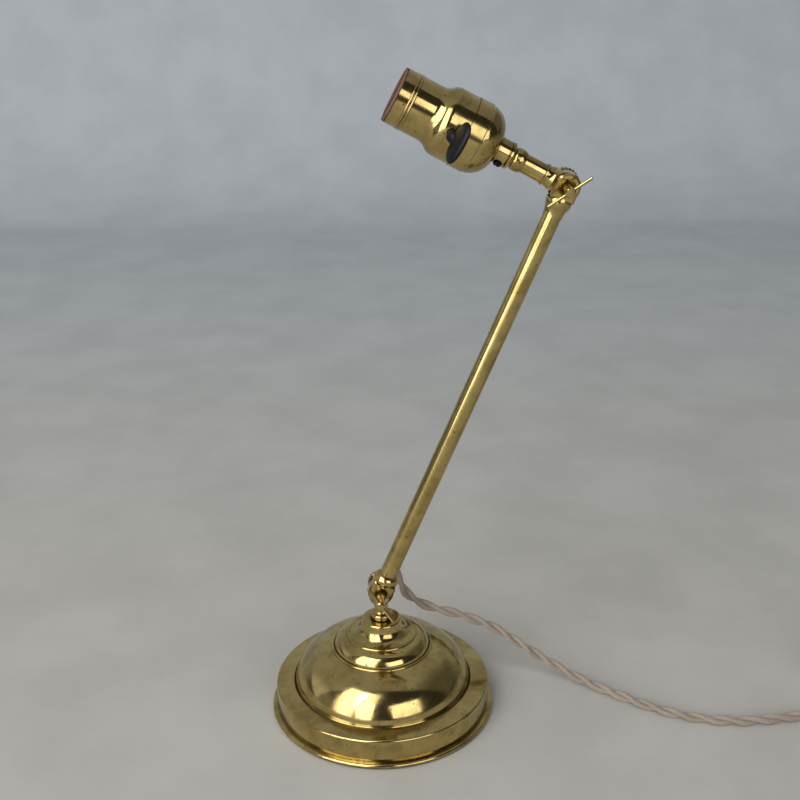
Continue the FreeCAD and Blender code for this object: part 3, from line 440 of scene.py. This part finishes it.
def plain_material(name, tint, dull, rough, feature, depth, coat=0.0, specular=0.5):
    """A moulded, glazed or pressed stuff: two near tones in a fine grain under an even sheen."""
    material, tree, shader = new_material(name)
    place = add_node(tree, "TexCoord").outputs["Object"]
    fine = noise(tree, place, feature, detail=4)
    clouds = noise(tree, place, feature * 12, detail=3)
    share = math_node(tree, "MULTIPLY", ramp(tree, clouds, 0.3, 0.7), ramp(tree, fine, 0.25, 0.7))
    roughness = math_node(tree, "MULTIPLY_ADD", clouds, 0.16, rough - 0.08)
    set_shader(
        tree,
        shader,
        Base_Color=mixed(tree, share, colour(tint), colour(dull)),
        Roughness=roughness,
        Normal=bumped(tree, fine, depth),
        Coat_Weight=coat,
        Specular_IOR_Level=specular,
    )
    return material


def fibre_material(name, rim, deep_grime_and_shade):
    """Pressed fibre: pinkish on the rim, and near black deeper in, where grime and painted shade
    darken it.
    """
    material, tree, shader = new_material(name)
    place = local_place(tree, HEAD_FRAME)
    fine = noise(tree, place, 0.5, detail=4)
    depth = add_node(tree, "SeparateXYZ", place).outputs[2]
    depth = math_node(tree, "MULTIPLY_ADD", fine, 0.8 * MM, depth)
    # Painted shade with grime: the fibre goes near black below 108.2 mm along the head's axis,
    # deeper into the mouth.
    share = ramp(tree, depth, 108.2 * MM, 109.6 * MM)
    base = mixed(tree, share, colour(deep_grime_and_shade), colour(rim))
    normal = bumped(tree, fine, 0.04)
    set_shader(tree, shader, Base_Color=base, Roughness=0.75, Normal=normal, Specular_IOR_Level=0.3)
    return material


def cloth_material(name, light, shade):
    """Braided cotton: yarns cross over and under each other round the strand, in pairs.

    The pattern's U counts yarns round the strand and its V counts yarn crossings along it. The
    eye gets a fine chevron weave with soft shadow between the yarns and a little fuzz.
    """
    material, tree, shader = new_material(name)
    where = add_node(tree, "UVMap", uv_map="pattern").outputs[0]
    parts = add_node(tree, "SeparateXYZ", where).outputs
    rising = math_node(tree, "ADD", parts[0], parts[1])
    falling = math_node(tree, "SUBTRACT", parts[0], parts[1])
    heights = []
    for slope in (rising, falling):
        wave = math_node(tree, "SINE", math_node(tree, "MULTIPLY", slope, math.pi))
        heights.append(math_node(tree, "ABSOLUTE", wave))
    pair = add_node(tree, "CombineXYZ", rising, falling).outputs[0]
    over = add_node(tree, "TexChecker", pair, Scale=1.0).outputs["Fac"]
    over_rise = math_node(tree, "MULTIPLY_ADD", over, 0.6, 0.4)
    first = math_node(tree, "MULTIPLY", heights[0], over_rise)
    under = math_node(tree, "SUBTRACT", 1.0, over)
    under_rise = math_node(tree, "MULTIPLY_ADD", under, 0.6, 0.4)
    second = math_node(tree, "MULTIPLY", heights[1], under_rise)
    weave = math_node(tree, "MAXIMUM", first, second)
    place = add_node(tree, "TexCoord").outputs["Object"]
    fuzz = noise(tree, place, 0.25, detail=3)
    stain = noise(tree, place, 18, detail=4)
    clean = ramp(tree, stain, 0.2, 0.7, 0.72, 1)
    share = math_node(tree, "MULTIPLY", ramp(tree, weave, 0.2, 0.95), clean)
    share = math_node(tree, "MULTIPLY", share, ramp(tree, fuzz, 0.2, 0.6, 0.8, 1))
    normal = bumped(tree, weave, 0.16)
    normal = bumped(tree, fuzz, 0.05, normal)
    set_shader(
        tree,
        shader,
        Base_Color=mixed(tree, share, colour(shade), colour(light)),
        Roughness=0.82,
        Sheen_Weight=0.35,
        Sheen_Roughness=0.5,
        Normal=normal,
        Specular_IOR_Level=0.25,
    )
    return material


MATERIALS = {
    "base_brass": brass_material("aged_brass_spun_base", BASE_FRAME, 1.0),
    "arm_brass": brass_material("aged_brass_drawn_tube", ARM_FRAME, 0.25, 1.0),
    "head_brass": brass_material("aged_brass_lampholder", HEAD_FRAME, 0.5),
    "shell_brass": brass_material("thin_rolled_brass", HEAD_FRAME, 0.3, 0, "CDB67C", "A38D5A"),
    "iron": metal_material("rough_cast_iron", "3A3835", "1E1C1A", 0.75, 1.2, 0.12),
    "steel": metal_material("dull_zinc_plated_steel", "8E8C86", "6A6760", 0.42, 0.6, 0.008),
    "dark_steel": metal_material("blackened_steel", "2A2826", "161413", 0.42, 0.5, 0.01),
    "felt": plain_material("pressed_green_felt", "2B3A2E", "1A241C", 0.95, 0.35, 0.18, 0, 0.2),
    "fibre": fibre_material("pinkish_pressed_fibre", "7A5B4B", "1E1510"),
    "porcelain": plain_material("glazed_porcelain", "E9E4D6", "D3CCBA", 0.2, 2.5, 0.01, 0.6),
    "key": plain_material("black_moulded_key", "0B0C0E", "060708", 0.46, 0.35, 0.02, 0.05, 0.22),
    "plug": plain_material("dark_brown_moulding", "2A1A12", "170E0A", 0.3, 0.8, 0.008, 0.4),
    "cloth": cloth_material("braided_cotton_cord", "BDAF9C", "594C3E"),
}
SLOT_LOOKS = {
    "shell_brass": "shell_brass",
    "cast_iron": "iron",
    "felt": "felt",
    "steel": "steel",
    "dark_steel": "dark_steel",
    "fibre": "fibre",
    "porcelain": "porcelain",
    "black_key": "key",
    "plug_plastic": "plug",
}
BODY_LOOKS = {
    "base": "base_brass",
    "arm": "arm_brass",
    "lower_screw": "arm_brass",
    "upper_screw": "arm_brass",
    "head": "head_brass",
    "key": "head_brass",
}


def paint_nodes():
    """Gives every CAD node the look of its material slot, or its body's brass."""
    slots = {row["node"]: row["material_slot"] for row in frame["record"]["subparts"]}
    for body, members in frame["record"]["behaviour"]["bodies"].items():
        for node in members:
            look = SLOT_LOOKS.get(slots[node], BODY_LOOKS[body])
            mesh = frame["nodes"][node].data
            mesh.materials.clear()
            mesh.materials.append(MATERIALS[look])


paint_nodes()

# ---------------------------------------------------------------- the twisted cord

STRAND_RADIUS = 0.00168
TWIST_PITCH = 0.033
YARNS_ROUND = 12
YARN_STEP = 0.0013
CORD_STEP = 0.0011


def make_cord():
    """Two braided strands wound round each other along the cord's line.

    At a distance s along the line the strands' centres stand at p + w (cos a across + sin a up)
    and at p - w (the same), with w the strand's radius and a = 360 s / pitch degrees: the
    strands lie like the middle stroke of a Z.
    """
    tail = [(TAIL_END[0], TAIL_TURN_Y, TAIL_END[2]), TAIL_END]
    line = spline_line([*CORD_ROUTE, *coil_points(), *tail])
    centre, along = evenly(line, CORD_STEP)
    across, up = side_vectors(centre)
    angle = 2 * np.pi * along / TWIST_PITCH
    offset = across * np.cos(angle)[:, None] + up * np.sin(angle)[:, None]
    meshes = []
    for side in (1, -1):
        points = tube_points(centre + side * STRAND_RADIUS * offset, STRAND_RADIUS, YARNS_ROUND)
        steps = (along[1] / YARN_STEP, 1.0)
        mesh = grid_mesh(f"strand_{side}", points, closed_v=True, uv=steps)
        uv = np.empty(len(mesh.loops) * 2, np.float32)
        mesh.uv_layers["pattern"].data.foreach_get("uv", uv)
        mesh.uv_layers["pattern"].data.foreach_set("uv", uv.reshape(-1, 2)[:, ::-1].ravel())
        meshes.append(mesh)
    mesh = merged_mesh("cord", meshes)
    replaced = ("cord_tube", "cord_coil", "cord_tail")
    piece = add_piece("cord", mesh, MATERIALS["cloth"], None, replaced)
    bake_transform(piece)


def turned_points(placed, profile, sides=96):
    """A profile of (radius, height) turned about a frame's Z: (r cos a, r sin a, h)."""
    profile = np.asarray(profile, float)
    angle = np.linspace(0, 2 * np.pi, sides, endpoint=False)
    local = np.empty((len(profile), sides, 3))
    local[..., 0] = profile[:, :1] * np.cos(angle)
    local[..., 1] = profile[:, :1] * np.sin(angle)
    local[..., 2] = profile[:, 1:]
    return placed_points(placed, local)


def placed_points(placed, local):
    """Points in a frame's millimetres as points of the lamp in metres."""
    matrix = np.array(placed)
    return local * MM @ matrix[:3, :3].T + matrix[:3, 3]


KEY_PLACE = 81.5
KEY_LEAN = 22
KEY_SWING = 6
KEY_FRAME = (
    HEAD_FRAME
    @ Matrix.Translation((0, 0, KEY_PLACE * MM))
    @ Matrix.Rotation(math.radians(-KEY_SWING), 4, "Z")
    @ Matrix.Rotation(math.radians(90 + KEY_LEAN), 4, "X")
)


def make_key():
    """The switch's key: a rounded hub and an oval paddle that thins towards its edge.

    The paddle is p(a, b) = (L c(a) q(b), T cos b (1 - 0.2 sin^4 b), D s(a) q(b)) about its
    middle, where c and s are the signed 0.8 powers of cosine and sine and q is sin b to 0.55.
    """
    half_length, half_depth, half_thick, middle = 12.0, 6.8, 2.2, 33.2
    a = np.linspace(0, 2 * np.pi, 72, endpoint=False)[:, None]
    b = np.linspace(0, np.pi, 33)[None, :]
    power = 0.8
    ca = np.sign(np.cos(a)) * np.abs(np.cos(a)) ** power
    sa = np.sign(np.sin(a)) * np.abs(np.sin(a)) ** power
    spread = np.sin(b) ** 0.55
    local = np.empty((72, 33, 3))
    local[..., 0] = half_length * ca * spread
    local[..., 1] = half_thick * np.cos(b) * (1 - 0.2 * np.sin(b) ** 4)
    local[..., 2] = middle + half_depth * sa * spread
    paddle = grid_mesh("paddle", placed_points(KEY_FRAME, local), closed_u=True)
    hub_profile = [(0, 23.75), (3.2, 23.75), (3.8, 24.1), (4.0, 25.0), (3.9, 26.2), (3.4, 27.6)]
    hub_profile += [(2.6, 29.0), (1.6, 30.2), (0, 30.6)]
    hub = grid_mesh("hub", turned_points(KEY_FRAME, hub_profile[::-1], 40), closed_v=True)
    mesh = merged_mesh("turn_key", [hub, paddle])
    add_piece("turn_key", mesh, MATERIALS["key"], "key", ("switch_key",))


def make_thread():
    """The rolled screw shell: r = R + d cos(2 pi k / pitch - a) between a foot and a rim."""
    pitch, depth, wall = 3.63, 0.38, 0.3
    foot, rim, radius = 81.9, 104.0, 13.25
    k = np.linspace(foot, rim, 150)
    a = np.linspace(0, 2 * np.pi, 96, endpoint=False)
    fade = np.clip(np.minimum(k - foot - 0.8, rim - 0.8 - k) / 2, 0, 1)[:, None]
    r = radius + depth * fade * np.cos(2 * np.pi * k[:, None] / pitch - a)
    lead = np.array([[8.0, foot - 0.1], [11.5, foot - 0.1], [12.9, foot - 0.05]])
    flange = np.array([[13.5, rim + 0.1], [13.9, rim + 0.1]])
    inner = np.empty((len(lead) + len(k) + len(flange), 96, 2))
    inner[: len(lead)] = lead[:, None]
    inner[len(lead) : len(lead) + len(k), :, 0] = r
    inner[len(lead) : len(lead) + len(k), :, 1] = k[:, None]
    inner[len(lead) + len(k) :] = flange[:, None]
    local = np.empty((*inner.shape[:2], 3))
    local[..., 0] = inner[..., 0] * np.cos(a)
    local[..., 1] = inner[..., 0] * np.sin(a)
    local[..., 2] = inner[..., 1]
    mesh = grid_mesh("screw_thread", placed_points(HEAD_FRAME, local), closed_v=True)
    look = MATERIALS["shell_brass"]
    piece = add_piece("screw_thread", mesh, look, "head", ("screw_shell",))
    sheet = piece.modifiers.new("wall", "SOLIDIFY")
    sheet.thickness = wall * MM
    sheet.offset = -1


PLUG_REAR = Vector((390.2, 66.0, 8.0)) * MM


def make_plug():
    """A moulded plug: rounded rectangles along its length, with a collar and two finger grooves.

    At each station (y, w, h) the section is (w c(a), y, h s(a)), where c and s are the signed
    0.62 powers of cosine and sine.
    """
    stations = [
        (0.0, 0.0, 0.0), (0.0, 3.6, 3.6), (0.3, 4.3, 4.3), (1.2, 4.5, 4.5),
        (2.0, 4.2, 4.2), (3.2, 4.4, 4.4), (4.4, 5.6, 5.2), (6.2, 8.4, 6.6),
        (8.2, 10.6, 7.5), (10.0, 11.5, 7.85), (11.0, 11.2, 7.4), (12.0, 10.9, 7.2),
        (13.0, 11.2, 7.4), (14.0, 11.7, 7.9), (15.0, 11.2, 7.4), (16.0, 10.9, 7.2),
        (17.0, 11.2, 7.4), (18.0, 11.8, 7.9), (21.0, 12.0, 8.0), (25.0, 12.0, 8.0),
        (25.7, 11.7, 7.7), (26.0, 11.0, 7.1), (26.0, 0.0, 0.0),
    ]
    y, w, h = np.array(stations).T
    a = np.linspace(0, 2 * np.pi, 64, endpoint=False)
    c = np.sign(np.cos(a)) * np.abs(np.cos(a)) ** 0.62
    s = np.sign(np.sin(a)) * np.abs(np.sin(a)) ** 0.62
    local = np.stack([w[:, None] * c, np.repeat(y[:, None], 64, 1), h[:, None] * s], -1)
    points = placed_points(Matrix.Translation(PLUG_REAR), local)
    mesh = merged_mesh("plug", [grid_mesh("plug_shell", points[:, ::-1], closed_v=True)])
    piece = add_piece("plug", mesh, MATERIALS["plug"], "base", ("plug_body",))
    smooth = piece.modifiers.new("smooth", "SUBSURF")
    smooth.levels = smooth.render_levels = 1


TIE_MIDDLE = (0.0371, 0.0068)
TIE_REACH = (0.0144, 0.0067)
TIE_HALF_WIDTH = 0.003
TIE_LOWEST = 0.0006
TAPE_THICKNESS = 0.0005


def make_tie(name, angle):
    """A strap of the cord's own cloth tape round the coil's turns: a flat band along an oval.

    The oval is (r0 + A c(t), z0 + B s(t)) in the upright plane through the coil's axis, with c
    and s the signed 0.7 powers of cosine and sine, and it is flat where it lies on the table.
    """
    t = np.linspace(0, 2 * np.pi, 72, endpoint=False)
    c = np.sign(np.cos(t)) * np.abs(np.cos(t)) ** 0.7
    s = np.sign(np.sin(t)) * np.abs(np.sin(t)) ** 0.7
    out = TIE_MIDDLE[0] + TIE_REACH[0] * c
    up = TIE_MIDDLE[1] + TIE_REACH[1] * s
    across = np.linspace(-TIE_HALF_WIDTH, TIE_HALF_WIDTH, 5)
    a = math.radians(angle)
    points = np.empty((72, 5, 3))
    points[..., 0] = COIL_CENTRE[0] + out[:, None] * math.cos(a) - across * math.sin(a)
    points[..., 1] = COIL_CENTRE[1] + out[:, None] * math.sin(a) + across * math.cos(a)
    points[..., 2] = np.maximum(up[:, None], TIE_LOWEST)
    mesh = grid_mesh(name, points, closed_u=True, uv=(0.8, 3.0))
    piece = add_piece(name, mesh, MATERIALS["cloth"], "base", ())
    band = piece.modifiers.new("tape", "SOLIDIFY")
    band.thickness = TAPE_THICKNESS
    band.offset = -1
    return piece


make_key()
make_thread()
make_plug()
ties = [make_tie("coil_tie_1", 35), make_tie("coil_tie_2", 215)]
make_cord()

# ---------------------------------------------------------------- floor and light


def floor_material():
    """A matt pale studio floor, a little paler up its backdrop, with a faint unevenness."""
    material, tree, shader = new_material("pale_studio_floor")
    place = add_node(tree, "TexCoord").outputs["Object"]
    share = ramp(tree, noise(tree, place, 90, detail=5), 0.3, 0.7)
    near = mixed(tree, share, colour("B9B7B0"), colour("B0AEA7"))
    far = mixed(tree, share, colour("BBC1C3"), colour("B3B9BB"))
    away = ramp(tree, add_node(tree, "SeparateXYZ", place).outputs[1], 0.05, 1.3)
    base = mixed(tree, away, near, far)
    set_shader(tree, shader, Base_Color=base, Roughness=0.85, Specular_IOR_Level=0.2)
    return material


FLOOR_REACH = 24.0


def make_floor():
    """A pale sweep: a flat floor that bends up into a backdrop well behind the lamp.

    Its side view is a line to y = start, a quarter circle of radius bend, and a line upwards.
    """
    start, bend, top = 1.3, 0.35, 1.05
    turn = np.linspace(0, np.pi / 2, 25)
    y = np.concatenate([[-FLOOR_REACH], start + bend * np.sin(turn), [start + bend]])
    z = np.concatenate([[0.0], bend - bend * np.cos(turn), [top]])
    x = np.linspace(-FLOOR_REACH, FLOOR_REACH, 7)
    points = np.empty((len(x), len(y), 3))
    points[..., 0] = x[:, None]
    points[..., 1] = y
    points[..., 2] = z
    mesh = grid_mesh("floor", points)
    mesh.materials.append(floor_material())
    floor = bpy.data.objects.new("floor", mesh)
    scene.collection.objects.link(floor)


def area_light(name, azimuth, elevation, distance, width, height, radiance, tint):
    """A rectangular soft light that looks at the lamp. Azimuth 0 is the camera's side, 90 is +X.

    A lit rectangle of area A and radiance L gives the power pi A L.
    """
    data = bpy.data.lights.new(name, "AREA")
    data.shape = "RECTANGLE"
    data.size = width
    data.size_y = height
    data.energy = math.pi * width * height * radiance
    data.color = colour(tint)[:3]
    light = bpy.data.objects.new(name, data)
    scene.collection.objects.link(light)
    a, e = math.radians(azimuth), math.radians(elevation)
    away = Vector((math.sin(a) * math.cos(e), -math.cos(a) * math.cos(e), math.sin(e)))
    light.rotation_mode = "QUATERNION"
    light.rotation_quaternion = away.to_track_quat("Z", "Y")
    light.location = Vector((0.0, 0.0, 0.12)) + away * distance


WINDOW_TINT = "F8F8FA"
BACK_LIGHT = 0.36
LEFT_LIGHT = 0.28
ROOM_LIGHT = 0.045


def make_world():
    """A soft grey room: dim in front up to a slanting edge, and lighter behind, above and left."""
    world = bpy.data.worlds.new("studio")
    scene.world = world
    world.use_nodes = True
    tree = world.node_tree
    direction = add_node(tree, "TexCoord").outputs["Generated"]
    x, y, z = add_node(tree, "SeparateXYZ", direction).outputs
    steep = math.radians(73)
    past = math_node(tree, "MULTIPLY", y, math.sin(steep))
    past = math_node(tree, "MULTIPLY_ADD", z, math.cos(steep), past)
    bright = ramp(tree, past, -0.015, 0.02, 0, BACK_LIGHT)
    bright = math_node(tree, "MULTIPLY", bright, ramp(tree, x, 0.35, 0.8, 1, 0.3))
    left = ramp(tree, x, -0.95, -0.8, LEFT_LIGHT, 0)
    total = math_node(tree, "ADD", bright, left)
    total = math_node(tree, "ADD", total, ROOM_LIGHT)
    background = tree.nodes["Background"]
    background.inputs["Color"].default_value = colour("F4F6F8")
    tree.links.new(total, background.inputs["Strength"])


make_floor()
make_world()
area_light("window_far_left", -48.5, 31, 3.0, 1.38, 3.78, 3.9, WINDOW_TINT)
area_light("window_left", -23, 31, 3.0, 1.11, 3.78, 3.8, WINDOW_TINT)
area_light("window_right", 31, 19, 3.0, 2.0, 1.75, 2.5, WINDOW_TINT)
scene.view_settings.view_transform = "Standard"
